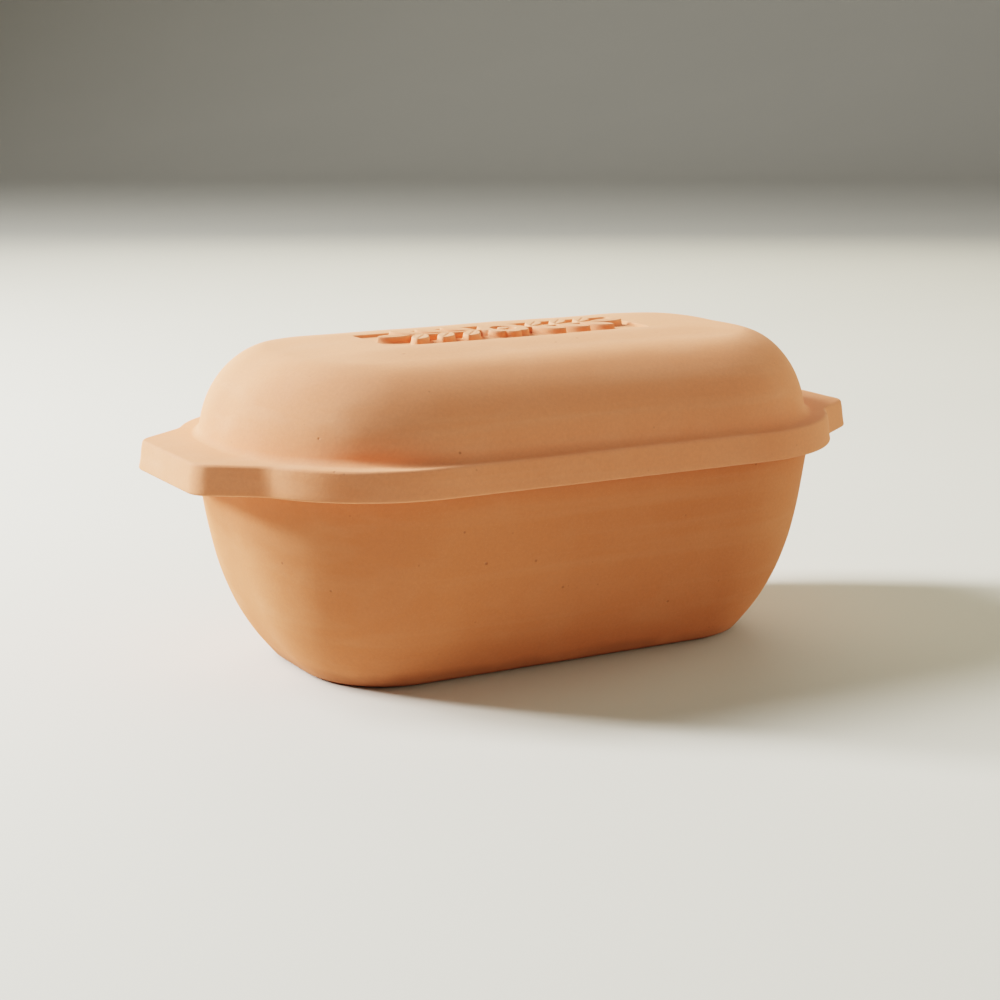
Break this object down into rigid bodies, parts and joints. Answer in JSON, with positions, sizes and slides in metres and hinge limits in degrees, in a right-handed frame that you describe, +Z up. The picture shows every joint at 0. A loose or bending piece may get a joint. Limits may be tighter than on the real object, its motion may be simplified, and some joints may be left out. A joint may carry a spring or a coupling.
{
  "type": "covered clay baker",
  "caption": "Long oval-cornered unglazed earthenware baking dish with tapered walls and a loose domed lid carrying a flange band, two end lug handles and a raised floral ornament.",
  "frame": {"origin": "centre of the dish's foot, on the surface it stands on", "axes": "+X along the length, through both lug handles; +Y across the width; +Z up, the way the lid lifts off"},
  "size_m": [0.3792, 0.2036, 0.1635],
  "materials": {
    "dish_clay": "unglazed fired earthenware, matt, fine grain",
    "lid_clay": "unglazed fired earthenware, matt, sponged smooth"
  },
  "bodies": {
    "base": {"base_dish": "dish_clay"},
    "lid": {"lid": "lid_clay"}
  },
  "joints": [
    {"name": "lid_lift", "type": "slide", "parent": "base", "child": "lid", "axis": [0, 0, 1], "range_m": [0, 0.15]}
  ]
}
